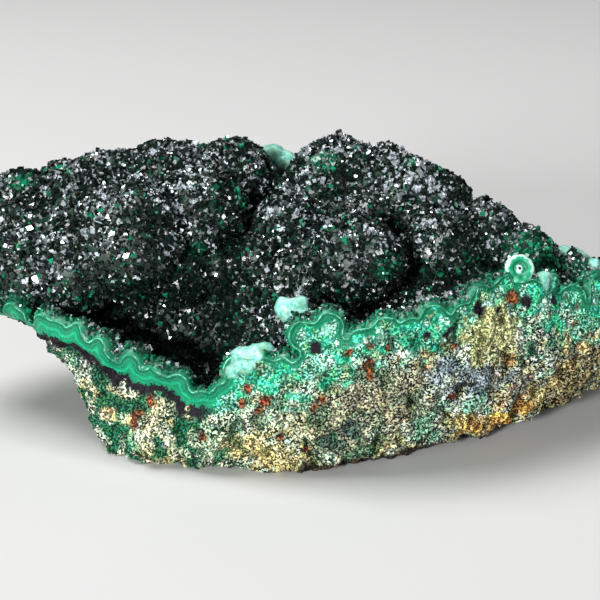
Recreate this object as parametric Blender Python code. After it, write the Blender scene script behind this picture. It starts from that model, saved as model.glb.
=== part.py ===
"""Malachite specimen: a hand-sized piece broken from the wall of an ore pocket.

Two things grew one on the other. The host rock is a porous, rusty gossan. Over it lies one
botryoidal crust of banded malachite, whose free side is a druse of small dark crystals.
Breaking the piece out left rough faces at the front, back, ends and underside, and they cut
through rock and crust alike, so the crust shows its edge all round.

Lengths in the tables are in millimetres. +X runs along the specimen, -Y is its front and +Z is up.
"""

import math
import random

import bmesh
import bpy
from mathutils import Matrix, Vector, noise

MM = 0.001

# Driving dimensions, in millimetres
MIDDLE = (-0.35, 2.25)  # x and y of the piece's middle in the tables, which is put over the origin
CRUST = 2.6  # thickness of the banded malachite
CONTACT_GAP = 0.3  # clearance between the rock and the crust that grew on it
GROWTH_GRAIN = 1.7  # grain at which the mounds and bubbles fuse
DRUSE_FACETS = 4200  # facets left on the whole growth, each then about a crystal's size
ROCK_GRAIN = 2.6  # grain at which the host rock fuses
SEAT_FACETS = 1300  # facets of the rock's upper side, on which the crust sits
SIDE_FACETS = 1450  # facets of the broken sides and the underside
CRYSTAL_SHARE = 0.3  # share of the druse's facets that stand up as crystals
CRYSTAL_HEIGHT = 1.0
SLIVER = 0.02  # facets thinner than this are merged into their neighbours
HEADROOM = 75.0  # height to which the broken sides are carried up, above every mound

# The pocket's wall under the mounds: x, height at the front, height at the back,
# and where, from front to back, the wall climbs from its shelf
WALL_STATIONS = (
    (-80, 24, 30, 2, 20),
    (-60, 24, 36, 2, 18),
    (-48, 24, 40, 0, 16),
    (-39, 21.5, 38, -2, 16),
    (-28, 14.5, 38, -6, 14),
    (-17, 11.5, 37, -8, 12),
    (-11, 18, 38, -14, 10),
    (-3, 23.5, 40, -18, 8),
    (2, 27, 42, -18, 10),
    (14, 29, 42, -8, 18),
    (24, 31, 40, 0, 20),
    (38, 33, 33, 2, 20),
    (47, 32, 29, 2, 20),
    (60, 27.5, 24, 2, 20),
    (80, 14, 12, 2, 20),
)
WALL_DEPTH = (-36.0, 42.0)  # how far the wall runs past the broken faces, for them to cut
WALL_REACH = 82.0

# Rounded masses of the growth: x, y, z, radius
MOUNDS = (
    (-76, 12, 32, 14),
    (-66, 12, 35, 14),
    (-57, 12, 37, 13),
    (-47, 14, 38.5, 13),
    (-55, 3, 32.5, 10),
    (-45, 1, 33, 10),
    (-34.5, 2, 37.5, 12.5),
    (-41, 20, 40, 12),
    (-28.5, 20, 43.5, 11),
    (-20.5, 10, 41, 10.5),
    (-25, 4, 31, 8),
    (-17, 6, 30.5, 7),
    (-9, 3, 33, 6),
    (-14, 20, 46.5, 8.5),
    (-3, 8, 38.5, 7.5),
    (0, 18, 41, 7),
    (8, 20, 43, 12),
    (11, -8, 37.5, 9.2),
    (23, 14, 39.5, 12),
    (16, 18, 41, 12),
    (28.5, 4, 34.5, 10),
    (38, 9, 35.5, 8.5),
    (46, 6, 32, 7.5),
    (56, 6, 27, 7),
    (66, 8, 21.5, 7.5),
    (76, 12, 15, 8),
    (39, 22, 31.5, 8.5),
    (49, 22, 27.5, 8),
    (60, 19, 21, 8),
    (68, 17, 16.5, 7),
    (-37, -10, 15.5, 5.5),
    (-31, -15, 11.5, 5.5),
    (-25, -9, 12, 6),
    (-22, -17, 8, 5.5),
    (-17, -12, 9, 6),
)
KNOBS_PER_MOUND = 14  # smaller knobs that crowd each mound
KNOB_SIZE = 0.36  # a knob's radius as a share of its mound's
KNOB_DEPTH = 0.78  # how far out its centre lies, as a share of the mound's radius
KNOB_MOST = 6.0  # no knob or bubble is larger than this

# Small bubbles that scallop the crust's broken front edge: x, y, z, radius
EDGE_BUBBLES = (
    (-57, -4, 24.5, 4),
    (-50, -9, 24.5, 4),
    (-47, -11, 24, 3.6),
    (-43, -13, 23.5, 4),
    (-38.5, -15.5, 21, 4),
    (-32, -18, 18.5, 4),
    (-27, -21, 16, 4),
    (-23.5, -22, 15, 4),
    (-18.5, -25, 13, 4),
    (-12, -26, 22.5, 4.2),
    (-7.5, -26, 23, 4),
    (-2.5, -26, 22.5, 3.8),
    (0.5, -27, 29, 4),
    (5.5, -27, 31.5, 3.8),
    (11.5, -27, 28, 4),
    (16, -26, 30, 4),
    (20.5, -25, 30.5, 3.8),
    (24.5, -24, 31.5, 4.4),
    (30, -22, 31.5, 4),
    (34, -20, 33.5, 4),
    (40, -17, 34, 4.2),
    (48.5, -11, 33, 3.8),
    (54, -8, 29.5, 3.6),
    (59, -4, 30.5, 3.6),
)

# Bubbles that stand clear of the druse and stay bare: x, y, z, radius
BARE_BUBBLES = (
    (-1.3, -22, 31.5, 3.6),
    (3.6, -25, 30.5, 3.0),
    (-10.5, -25.5, 22.5, 4.2),
    (-6, 29, 48, 4.0),
    (43, -12, 36, 3.1),
    (57, 8, 33, 2.6),
    (60.5, 5, 32, 2.6),
)

# The stub of a small stalactite, broken across so that it shows as a ring
STUB = (42.6, -12.5, 37)
STUB_FACES = (0.0, -0.88, 0.47)  # the way its broken end faces
STUB_RADIUS = 2.0
STUB_RIM = 0.85
STUB_CORE = 0.9
STUB_ROOT = 4.0
STUB_GRAIN = 0.4
STUB_FACETS = 180

# The broken sides, station by station round the piece, anticlockwise from the left tip:
# rim x, y, z at the crust's edge; foot x, y, z where the side meets the underside; outward bulge
SIDE_STATIONS = (
    ((-76, 8, 26), (-56, 8, 20), 1),
    ((-66, -1, 26), (-54, 3, 19), 1),
    ((-56, -7, 24), (-46, -6, 13), -1),
    ((-48, -12, 22), (-42, -12, 3), -1),
    ((-39, -17, 20), (-38, -18, 0), 1),
    ((-27, -23, 15), (-30, -22, 0), 2),
    ((-16, -27, 12), (-20, -24, 0), 2),
    ((-9, -28, 20), (-10, -26, 0), 2),
    ((0, -29, 26), (0, -27, 0), 2),
    ((12, -29, 27), (12, -22.5, 0), 2),
    ((22, -27, 28), (24, -18.5, 1), 2),
    ((32, -23, 30), (37, -13, 1.5), 2),
    ((44, -15, 31), (50, -6, 3), 2),
    ((57, -7, 27), (61, 1, 4.5), 2),
    ((67, 2, 22), (69, 8, 5), 2),
    ((75, 13, 15), (70, 16, 5), 1),
    ((68, 23, 18), (60, 20, 5), 1),
    ((56, 27, 26), (48, 22, 3), 2),
    ((42, 29, 30), (34, 24, 1), 3),
    ((26, 32, 33), (20, 26, 0), 3),
    ((8, 33, 36), (6, 27, 0), 3),
    ((-10, 32, 36), (-8, 27, 0), 2),
    ((-26, 34, 36), (-22, 28, 1), 2),
    ((-42, 34, 34), (-36, 26, 3), 2),
    ((-58, 31, 32), (-48, 22, 10), 1),
    ((-71, 22, 28), (-55, 16, 18), 1),
)
SIDE_RINGS = 7  # rings from the rim down to the foot
UNDERSIDE_DROP = 3.2  # how far the underside swells at its middle, before it is ground flat
ROCK_LUMPS = 1.5  # height of the rock's lumps and hollows
ROCK_LUMP_SIZE = 9.0


def point(x, y, z):
    return Vector((x - MIDDLE[0], y - MIDDLE[1], z)) * MM


def object_of(mesh_builder, name):
    """A new object in the scene, holding what a bmesh holds."""
    mesh = bpy.data.meshes.new(name)
    mesh_builder.to_mesh(mesh)
    mesh_builder.free()
    piece = bpy.data.objects.new(name, mesh)
    bpy.context.scene.collection.objects.link(piece)
    return piece


def settled(piece):
    """The piece with its modifiers made part of its mesh."""
    evaluated = piece.evaluated_get(bpy.context.evaluated_depsgraph_get())
    mesh = bpy.data.meshes.new_from_object(evaluated)
    piece.modifiers.clear()
    piece.data = mesh
    return piece


def fused(piece, grain, facets):
    """Overlapping closed shapes grown into one skin, left in about this many facets."""
    remesh = piece.modifiers.new("fuse", "REMESH")
    remesh.mode = "VOXEL"
    remesh.voxel_size = grain * MM
    remesh.adaptivity = 0.0
    settled(piece)
    quads = len(piece.data.polygons)
    decimate = piece.modifiers.new("facets", "DECIMATE")
    decimate.ratio = min(facets / (2 * quads), 1.0)
    return settled(piece)


def cut(piece, operation, other):
    boolean = piece.modifiers.new(operation, "BOOLEAN")
    boolean.operation = operation
    boolean.solver = "EXACT"
    boolean.object = other
    return settled(piece)


def drop_crumbs(piece):
    """Leaves the largest body only, without the crumbs and slivers that a break cuts loose."""
    builder = bmesh.new()
    builder.from_mesh(piece.data)
    waiting = set(builder.verts)
    bodies = []
    while waiting:
        reached = [waiting.pop()]
        for vertex in reached:
            for edge in vertex.link_edges:
                other = edge.other_vert(vertex)
                if other in waiting:
                    waiting.remove(other)
                    reached.append(other)
        bodies.append(reached)
    bodies.sort(key=len)
    for crumb in bodies[:-1]:
        bmesh.ops.delete(builder, geom=crumb, context="VERTS")
    bmesh.ops.triangulate(builder, faces=builder.faces)
    bmesh.ops.dissolve_degenerate(builder, dist=SLIVER * MM, edges=builder.edges)
    bmesh.ops.triangulate(builder, faces=builder.faces)
    builder.to_mesh(piece.data)
    builder.free()


def eased(low, high, value):
    """0 below low, 1 above high, and a smooth climb between them."""
    share = min(max((value - low) / (high - low), 0.0), 1.0)
    return share * share * (3 - 2 * share)


def wall_height(x, y):
    """Height of the pocket's wall at a place in plan."""
    for near, far in zip(WALL_STATIONS, WALL_STATIONS[1:]):
        if x <= far[0]:
            break
    along = eased(near[0], far[0], x)
    front = near[1] + (far[1] - near[1]) * along
    back = near[2] + (far[2] - near[2]) * along
    foot = near[3] + (far[3] - near[3]) * along
    head = near[4] + (far[4] - near[4]) * along
    return front + (back - front) * eased(foot, head, y)


def knobs():
    """Smaller knobs crowded over the upper side of each mound, as (x, y, z, radius)."""
    chance = random.Random(3)
    found = []
    for x, y, z, radius in MOUNDS:
        for _ in range(KNOBS_PER_MOUND):
            turn, rise = chance.uniform(0, 2 * math.pi), chance.uniform(-0.35, 1)
            flat = math.sqrt(1 - rise * rise)
            away = Vector((flat * math.cos(turn), flat * math.sin(turn), rise)) * radius * KNOB_DEPTH
            found.append((x + away.x, y + away.y, z + away.z, radius * KNOB_SIZE * chance.uniform(0.75, 1.1)))
    return tuple(found)


def growth(name, shrink, grain, facets):
    """The whole growth as one solid. A shrink gives the surface that lies that deep in it."""
    builder = bmesh.new()
    bmesh.ops.create_grid(builder, x_segments=90, y_segments=44, size=1.0)
    middle, half_depth = sum(WALL_DEPTH) / 2, (WALL_DEPTH[1] - WALL_DEPTH[0]) / 2
    for vertex in builder.verts:
        x, y = vertex.co.x * WALL_REACH, middle + vertex.co.y * half_depth
        vertex.co = point(x, y, wall_height(x, y) - shrink)
    bottom = bmesh.ops.extrude_face_region(builder, geom=builder.faces[:])["geom"]
    for vertex in bottom:
        if isinstance(vertex, bmesh.types.BMVert):
            vertex.co.z = -12 * MM
    bmesh.ops.recalc_face_normals(builder, faces=builder.faces)
    for x, y, z, radius in MOUNDS + knobs() + EDGE_BUBBLES + BARE_BUBBLES:
        if radius > shrink:
            fineness = 3 if radius > KNOB_MOST else 2
            ball = bmesh.ops.create_icosphere(builder, subdivisions=fineness, radius=(radius - shrink) * MM)
            bmesh.ops.translate(builder, verts=ball["verts"], vec=point(x, y, z))
    return fused(object_of(builder, name), grain, facets)


def add_crystals(piece):
    """Raises a pointed crystal on some of the druse's facets."""
    chance = random.Random(7)
    builder = bmesh.new()
    builder.from_mesh(piece.data)
    biggest = (3.2 * MM) ** 2
    chosen = [
        face
        for face in builder.faces
        if face.calc_area() < biggest and face.normal.z > -0.6 and chance.random() < CRYSTAL_SHARE
    ]
    tips = bmesh.ops.poke(builder, faces=chosen, offset=0.0)["verts"]
    for tip in tips:
        tip.normal_update()
        lean = Vector((chance.uniform(-1, 1), chance.uniform(-1, 1), chance.uniform(-1, 1)))
        height = CRYSTAL_HEIGHT * chance.uniform(0.5, 1.3)
        tip.co += (tip.normal * height + lean * 0.4) * MM
    builder.to_mesh(piece.data)
    builder.free()


def side_point(rim, foot, bulge, share):
    """A point on a broken side, from its rim at share 0 to its foot at share 1."""
    rim, foot = Vector(rim), Vector(foot)
    here = rim.lerp(foot, share)
    outward = Vector((here.x * 0.35, here.y, 0)).normalized()
    return point(*(here + outward * bulge * 4 * share * (1 - share)))


def broken_piece(name):
    """The block inside which the growth and its rock came away: open above, rough on every side."""
    builder = bmesh.new()
    top = [builder.verts.new(point(rim[0], rim[1], HEADROOM)) for rim, _, _ in SIDE_STATIONS]
    builder.faces.new(top)
    shares = [ring / SIDE_RINGS for ring in range(SIDE_RINGS + 1)]
    ring = top
    for share in shares:
        below = [builder.verts.new(side_point(*station, share)) for station in SIDE_STATIONS]
        for i in range(len(ring)):
            j = (i + 1) % len(ring)
            builder.faces.new((ring[j], ring[i], below[i], below[j]))
        ring = below
    centre = sum((vertex.co for vertex in ring), Vector()) / len(ring)
    for inward in (0.3, 0.6):
        inner = []
        for vertex in ring:
            place = vertex.co.lerp(centre, inward)
            place.z = vertex.co.z * (1 - inward) - UNDERSIDE_DROP * MM * inward
            inner.append(builder.verts.new(place))
        for i in range(len(ring)):
            j = (i + 1) % len(ring)
            builder.faces.new((ring[j], ring[i], inner[i], inner[j]))
        ring = inner
    builder.faces.new(list(reversed(ring)))
    bmesh.ops.recalc_face_normals(builder, faces=builder.faces)
    piece = fused(object_of(builder, name), ROCK_GRAIN, SIDE_FACETS)
    for vertex in piece.data.vertices:
        place = vertex.co / (ROCK_LUMP_SIZE * MM)
        swell = noise.fractal(place, 1.0, 2.2, 3)
        vertex.co += vertex.normal * swell * ROCK_LUMPS * MM
    return piece


def ground_below():
    """A slab whose top is the plane on which the underside is ground flat."""
    builder = bmesh.new()
    bmesh.ops.create_cube(builder, size=1.0)
    bmesh.ops.scale(builder, verts=builder.verts, vec=Vector((300, 300, 40)) * MM)
    bmesh.ops.translate(builder, verts=builder.verts, vec=Vector((0, 0, -20)) * MM)
    return object_of(builder, "ground")


def stub():
    """The broken stalactite: a rim, a core standing in it, and a root that buries in the crust."""
    builder = bmesh.new()
    bmesh.ops.create_circle(builder, segments=6, radius=STUB_RIM * MM)
    bmesh.ops.rotate(builder, verts=builder.verts, matrix=Matrix.Rotation(math.pi / 2, 3, "X"))
    bmesh.ops.translate(builder, verts=builder.verts, vec=Vector((STUB_RADIUS, 0, 0)) * MM)
    bmesh.ops.spin(
        builder, geom=builder.verts[:] + builder.edges[:], steps=14, angle=2 * math.pi,
        axis=(0, 0, 1), cent=(0, 0, 0), use_merge=True,
    )
    bmesh.ops.create_cone(
        builder, cap_ends=True, segments=12, radius1=STUB_RADIUS * MM, radius2=STUB_RADIUS * MM,
        depth=STUB_ROOT * MM, matrix=Matrix.Translation((0, 0, -0.5 * STUB_ROOT * MM)),
    )
    bmesh.ops.create_icosphere(builder, subdivisions=1, radius=STUB_CORE * MM)
    bmesh.ops.recalc_face_normals(builder, faces=builder.faces)
    turn = Vector(STUB_FACES).to_track_quat("Z", "X").to_matrix().to_4x4()
    bmesh.ops.transform(builder, matrix=Matrix.Translation(point(*STUB)) @ turn, verts=builder.verts)
    return fused(object_of(builder, "stub"), STUB_GRAIN, STUB_FACETS)


def looks(name, colour, roughness):
    material = bpy.data.materials.new(name)
    material.use_nodes = True
    shader = material.node_tree.nodes["Principled BSDF"]
    shader.inputs["Base Color"].default_value = colour
    shader.inputs["Roughness"].default_value = roughness
    shader.inputs["Metallic"].default_value = 0.0
    return material


def main():
    for leftover in list(bpy.data.objects):
        bpy.data.objects.remove(leftover)
    crust = growth("malachite_crust", 0.0, GROWTH_GRAIN, DRUSE_FACETS)
    add_crystals(crust)
    rock = growth("host_rock", CRUST, ROCK_GRAIN, SEAT_FACETS)
    wear = rock.modifiers.new("wear", "SMOOTH")
    wear.factor = 0.5
    wear.iterations = 2
    settled(rock)
    under_crust = rock.copy()
    bpy.context.scene.collection.objects.link(under_crust)
    lift = under_crust.modifiers.new("gap", "DISPLACE")
    lift.mid_level = 0.0
    lift.strength = CONTACT_GAP * MM
    settled(under_crust)
    block = broken_piece("block")
    ground = ground_below()
    ring = stub()
    cut(block, "DIFFERENCE", ground)
    cut(crust, "DIFFERENCE", under_crust)
    cut(crust, "INTERSECT", block)
    cut(rock, "INTERSECT", block)
    drop_crumbs(crust)
    drop_crumbs(rock)
    cut(crust, "UNION", ring)
    for helper in (under_crust, block, ground, ring):
        bpy.data.objects.remove(helper)
    crust.data.materials.clear()
    crust.data.materials.append(looks("dark green druse", (0.02, 0.10, 0.065, 1), 0.35))
    rock.data.materials.clear()
    rock.data.materials.append(looks("rusty host rock", (0.42, 0.36, 0.20, 1), 0.85))


main()
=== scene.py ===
"""Looks for the malachite specimen: a druse of dark crystals on banded malachite, over rusty host rock.

The sections follow the piece from its foot up: the host rock, the banded crust that grew on it, the stub
of a small stalactite, the crystals of the druse, the rock's loose grains, and then the plain stage.
Lengths and places are in millimetres until point() and MM turn them into the frame's metres.
"""

import math
import random

import bmesh
import bpy
import numpy as np
from mathutils import Matrix, Vector, noise
from mathutils.bvhtree import BVHTree
from mathutils.kdtree import KDTree


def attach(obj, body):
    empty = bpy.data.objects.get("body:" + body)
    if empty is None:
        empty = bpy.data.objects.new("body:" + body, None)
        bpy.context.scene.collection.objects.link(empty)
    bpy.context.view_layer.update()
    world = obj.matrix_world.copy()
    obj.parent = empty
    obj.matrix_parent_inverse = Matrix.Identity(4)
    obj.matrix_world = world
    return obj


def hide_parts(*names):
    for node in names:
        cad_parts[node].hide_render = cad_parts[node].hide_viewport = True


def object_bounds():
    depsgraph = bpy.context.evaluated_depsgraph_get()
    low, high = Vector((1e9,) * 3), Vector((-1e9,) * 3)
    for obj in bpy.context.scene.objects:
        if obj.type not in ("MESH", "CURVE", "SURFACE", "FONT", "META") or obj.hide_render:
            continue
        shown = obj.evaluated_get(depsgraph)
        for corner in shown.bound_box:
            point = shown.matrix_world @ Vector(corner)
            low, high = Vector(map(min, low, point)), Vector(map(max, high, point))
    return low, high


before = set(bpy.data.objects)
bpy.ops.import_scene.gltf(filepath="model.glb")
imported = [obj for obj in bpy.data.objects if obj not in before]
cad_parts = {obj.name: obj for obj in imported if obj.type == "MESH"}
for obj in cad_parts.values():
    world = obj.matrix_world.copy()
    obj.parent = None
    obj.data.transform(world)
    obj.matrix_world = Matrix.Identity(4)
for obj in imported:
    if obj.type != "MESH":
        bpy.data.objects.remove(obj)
cad_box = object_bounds()

# --- The host rock ------------------------------------------------------------------------------
# Crumbling rock with the malachite grown over it in rounded mounds crowded with smaller knobs; one rough
# break cut both from the pocket. It is pale grains of limonite and clay in a dark porous matrix, stained
# green beneath the crust, rust red in spots, ochre along its foot and brown at one end.

MM = 0.001
MIDDLE = (-0.35, 2.25)  # x and y of the piece's middle in the tables below
CRUST = 2.6  # how deep the malachite reaches before the rock starts
CRYSTAL_BED = 0.75  # how deep the bed of the druse lies under the tips of its crystals
BED_GRAIN = 0.75  # how finely the bed is meshed
SEAT_GRAIN = 1.1  # and the rock's seat beneath the crust

# The pocket's wall under the mounds: x, height at the front, height at the back,
# and where, from front to back, the wall climbs from its shelf
WALL_STATIONS = (
    (-80, 24, 30, 2, 20),
    (-60, 24, 36, 2, 18),
    (-48, 24, 40, 0, 16),
    (-39, 21.5, 38, -2, 16),
    (-28, 14.5, 38, -6, 14),
    (-17, 11.5, 37, -8, 12),
    (-11, 18, 38, -14, 10),
    (-3, 23.5, 40, -18, 8),
    (2, 27, 42, -18, 10),
    (14, 29, 42, -8, 18),
    (24, 31, 40, 0, 20),
    (38, 33, 33, 2, 20),
    (47, 32, 29, 2, 20),
    (60, 27.5, 24, 2, 20),
    (80, 14, 12, 2, 20),
)
WALL_DEPTH = (-36, 42)  # how far the wall runs to the front and the back
WALL_REACH = 82  # and to either side
WALL_FLOOR = -12  # and down, past the underside

# Rounded masses of the growth: x, y, z, radius
MOUNDS = (
    (-76, 12, 32, 14), (-66, 12, 35, 14), (-57, 12, 37, 13), (-47, 14, 38.5, 13),
    (-55, 3.9, 32.4, 9.8), (-45, 1, 33, 10), (-34.5, 2, 37.5, 12.5), (-41, 20, 40, 12),
    (-28.5, 20, 43.5, 11), (-20.5, 10, 41, 10.5), (-25, 4, 31, 8), (-17, 6, 30.5, 7),
    (-9, 3, 33, 6), (-14, 20, 46.5, 8.5), (-3, 8, 38.5, 7.5), (0, 18, 41, 7),
    (8, 20, 43, 12), (11, -8, 37.5, 9.2), (23, 14, 39.5, 12), (16, 18, 41, 12),
    (28.5, 4, 34.5, 10), (38, 9, 35.5, 8.5), (46, 6, 32, 7.5), (56, 6, 27, 7),
    (66, 8, 21.5, 7.5), (76, 12, 15, 8), (39, 22, 31.5, 8.5), (49, 21.5, 25.8, 7.6),
    (60, 19, 21, 8), (68, 17, 16.5, 7), (-37, -10, 15.5, 5.5), (-31, -15, 11.5, 5.5),
    (-25, -9, 12, 6), (-22, -17, 8, 5.5), (-17, -12, 9, 6),
)
KNOBS_PER_MOUND = 14  # smaller knobs that crowd each mound
KNOB_SIZE = 0.36  # a knob's radius as a share of its mound's
KNOB_SPREAD = (0.75, 1.1)  # the least and most that it differs from that
KNOB_DEPTH = 0.78  # how far out its centre lies, as a share of the mound's radius
KNOB_RISE = (-0.35, 1)  # how low and how high on the mound, from -1 at its foot to 1 on top

# Small bubbles that scallop the crust's broken front edge: x, y, z, radius
EDGE_BUBBLES = (
    (-57, -4, 24.5, 4), (-50, -9, 24.5, 4), (-47, -11, 24, 3.6), (-43, -13, 23.5, 4),
    (-38.5, -15.5, 22, 4), (-33.5, -19, 17, 3.6), (-30.4, -19.6, 15.4, 3.4), (-22.2, -22.9, 12.8, 3.4),
    (-15.7, -26.2, 10.6, 3.2), (-32, -18, 20.2, 4), (-27, -21, 18, 4), (-23.5, -22, 16.8, 4),
    (-18.5, -25, 13.6, 4), (-14.2, -26, 17, 3.6), (-12, -26, 21.5, 3.8), (-9.5, -26, 18.5, 4),
    (-7.5, -26, 22, 4), (-2.5, -26, 22.5, 3.8), (6.5, -27, 27, 3.6), (0.5, -27, 29, 4),
    (5.5, -27, 31.5, 3.8), (11.5, -27, 28, 4), (16, -26, 30, 4), (20.5, -25, 30.5, 3.8),
    (24.5, -24, 31.5, 4.4), (30, -22, 31.5, 4), (34, -20, 33.5, 4), (40, -17, 34, 4.2),
    (46.5, -14, 31, 3.6), (44.4, -13.4, 33.3, 3.4), (48.5, -11, 33, 3.8), (54, -8, 29.5, 3.6),
    (59, -4, 30.5, 3.6), (59.5, -5.2, 28.2, 3.4), (-1.6, -20.6, 28.4, 3.4),
)

# Bubbles that stand clear of the druse and stay bare, some of them with smaller lobes: x, y, z, radius
BARE_BUBBLES = (
    (-2.3, -22.4, 32.3, 3.2), (-0.3, -22.6, 32.9, 2.9), (-3.4, -22.2, 33.2, 2.2), (2.9, -24.2, 31.3, 2.3),
    (-10.8, -24.8, 22.9, 3.3), (-8.4, -24.6, 23.8, 2.9), (-12.8, -25.0, 20.8, 2.8), (-6.4, -24.2, 25.0, 2.3),
    (-3.4, 27, 44.6, 3.6), (-0.4, 26, 43.0, 3.4), (-8.4, 26, 50.0, 2.5), (-6.8, 26.3, 49.6, 2.8),
    (-5.2, 27, 49.9, 2.6), (-3.7, 26.4, 48.2, 3.0), (-2.2, 27, 48.2, 2.5), (-0.8, 26.3, 46.6, 2.9),
    (0.6, 27, 46.8, 2.3), (47.6, -11.6, 34.2, 2.6), (57, 8, 33, 2.4), (54.6, 7.6, 34, 2.0),
    (59, 7, 33, 1.7), (60.5, 5, 32, 2.2),
)


def point(x, y, z):
    """A place in the tables, as a place in the frame."""
    return Vector((x - MIDDLE[0], y - MIDDLE[1], z)) * MM


def placed(name, data):
    """A new object in the scene that holds a mesh, a lamp or a camera."""
    holder = bpy.data.objects.new(name, data)
    bpy.context.scene.collection.objects.link(holder)
    return holder


def object_of(builder, name):
    """A new object in the scene that holds what a bmesh holds."""
    mesh = bpy.data.meshes.new(name)
    builder.to_mesh(mesh)
    builder.free()
    return placed(name, mesh)


def settled(piece):
    """The piece with its modifiers made part of its mesh."""
    evaluated = piece.evaluated_get(bpy.context.evaluated_depsgraph_get())
    mesh = bpy.data.meshes.new_from_object(evaluated)
    piece.modifiers.clear()
    piece.data = mesh
    return piece


def fused(piece, grain):
    """Everything in the piece grown together under one skin, meshed at a grain in millimetres."""
    remesh = piece.modifiers.new("fuse", "REMESH")
    remesh.mode = "VOXEL"
    remesh.voxel_size = grain * MM
    remesh.adaptivity = 0.0
    return settled(piece)


def cut(piece, operation, other):
    """A Boolean that hands the cut faces the other piece's material."""
    boolean = piece.modifiers.new(operation, "BOOLEAN")
    boolean.operation = operation
    boolean.solver = "MANIFOLD"
    boolean.material_mode = "TRANSFER"
    boolean.object = other
    return settled(piece)


def shape_of(builder):
    """A bmesh as arrays: its points, each triangle's three points, and which flat facet it lies on."""
    bmesh.ops.triangulate(builder, faces=builder.faces)
    builder.verts.ensure_lookup_table()
    points = np.array([vertex.co[:] for vertex in builder.verts])
    triangles = np.array([[vertex.index for vertex in face.verts] for face in builder.faces])
    slopes = np.round([face.normal[:] for face in builder.faces], 2)
    facets = np.unique(slopes, axis=0, return_inverse=True)[1].reshape(-1)
    builder.free()
    return points, triangles, facets


def copies_of(shape, turns, places):
    """Points and triangles of many copies of a shape. A turn is a 3 x 3 matrix that holds the size too."""
    points, triangles, _ = shape
    copied = np.einsum("nij,vj->nvi", turns, points) + places[:, None, :]
    first = np.arange(len(places)) * len(points)
    return copied.reshape(-1, 3), (triangles[None, :, :] + first[:, None, None]).reshape(-1, 3)


def joined(name, batches):
    """One mesh of several batches of copies."""
    firsts = np.cumsum([0] + [len(points) for points, _ in batches])
    points = np.concatenate([points for points, _ in batches])
    corners = np.concatenate([triangles + first for (_, triangles), first in zip(batches, firsts)])
    mesh = bpy.data.meshes.new(name)
    mesh.vertices.add(len(points))
    mesh.vertices.foreach_set("co", points.astype(np.float32).ravel())
    mesh.loops.add(corners.size)
    mesh.loops.foreach_set("vertex_index", corners.astype(np.int32).ravel())
    mesh.polygons.add(len(corners))
    mesh.polygons.foreach_set("loop_start", np.arange(0, corners.size, 3, dtype=np.int32))
    mesh.update(calc_edges=True)
    return mesh


def eased(low, high, value):
    """0 below low, 1 above high, and a smooth climb between them."""
    share = np.clip((value - low) / (high - low), 0.0, 1.0)
    return share * share * (3 - 2 * share)


def wall_height(x, y):
    """Height of the pocket's wall at a place in plan."""
    for near, far in zip(WALL_STATIONS, WALL_STATIONS[1:]):
        if x <= far[0]:
            break
    along = eased(near[0], far[0], x)
    front, back, foot, head = (near[i] + (far[i] - near[i]) * along for i in range(1, 5))
    return front + (back - front) * eased(foot, head, y)


def knobs():
    """Smaller knobs crowded over the upper side of each mound, as (x, y, z, radius)."""
    chance = random.Random(3)
    found = []
    for x, y, z, radius in MOUNDS:
        for _ in range(KNOBS_PER_MOUND):
            turn, rise = chance.uniform(0, 2 * math.pi), chance.uniform(*KNOB_RISE)
            flat = math.sqrt(1 - rise * rise)
            away = Vector((flat * math.cos(turn), flat * math.sin(turn), rise)) * radius * KNOB_DEPTH
            size = radius * KNOB_SIZE * chance.uniform(*KNOB_SPREAD)
            found.append((x + away.x, y + away.y, z + away.z, size))
    return tuple(found)


def ball(fineness):
    """A ball of radius 1, as arrays."""
    builder = bmesh.new()
    bmesh.ops.create_icosphere(builder, subdivisions=fineness, radius=1.0)
    return shape_of(builder)


def growth(name, shrink, grain):
    """The whole growth as one solid. A shrink gives the surface that lies that deep in it."""
    builder = bmesh.new()
    wide, deep = 2 * WALL_REACH, WALL_DEPTH[1] - WALL_DEPTH[0]
    bmesh.ops.create_grid(builder, x_segments=wide, y_segments=deep, size=1.0)
    for vertex in builder.verts:
        x, y = vertex.co.x * WALL_REACH, sum(WALL_DEPTH) / 2 + vertex.co.y * deep / 2
        vertex.co = point(x, y, wall_height(x, y) - shrink)
    bottom = bmesh.ops.extrude_face_region(builder, geom=builder.faces[:])["geom"]
    for vertex in bottom:
        if isinstance(vertex, bmesh.types.BMVert):
            vertex.co.z = WALL_FLOOR * MM
    bmesh.ops.recalc_face_normals(builder, faces=builder.faces)
    for fineness, balls in ((4, MOUNDS), (3, knobs() + EDGE_BUBBLES + BARE_BUBBLES)):
        balls = [found for found in balls if found[3] > shrink]
        places = np.array([point(*found[:3]) for found in balls])
        sizes = np.array([found[3] - shrink for found in balls]) * MM
        turns = sizes[:, None, None] * np.eye(3)
        builder.from_mesh(joined("balls", [copies_of(ball(fineness), turns, places)]))
    return fused(object_of(builder, name), grain)


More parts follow.
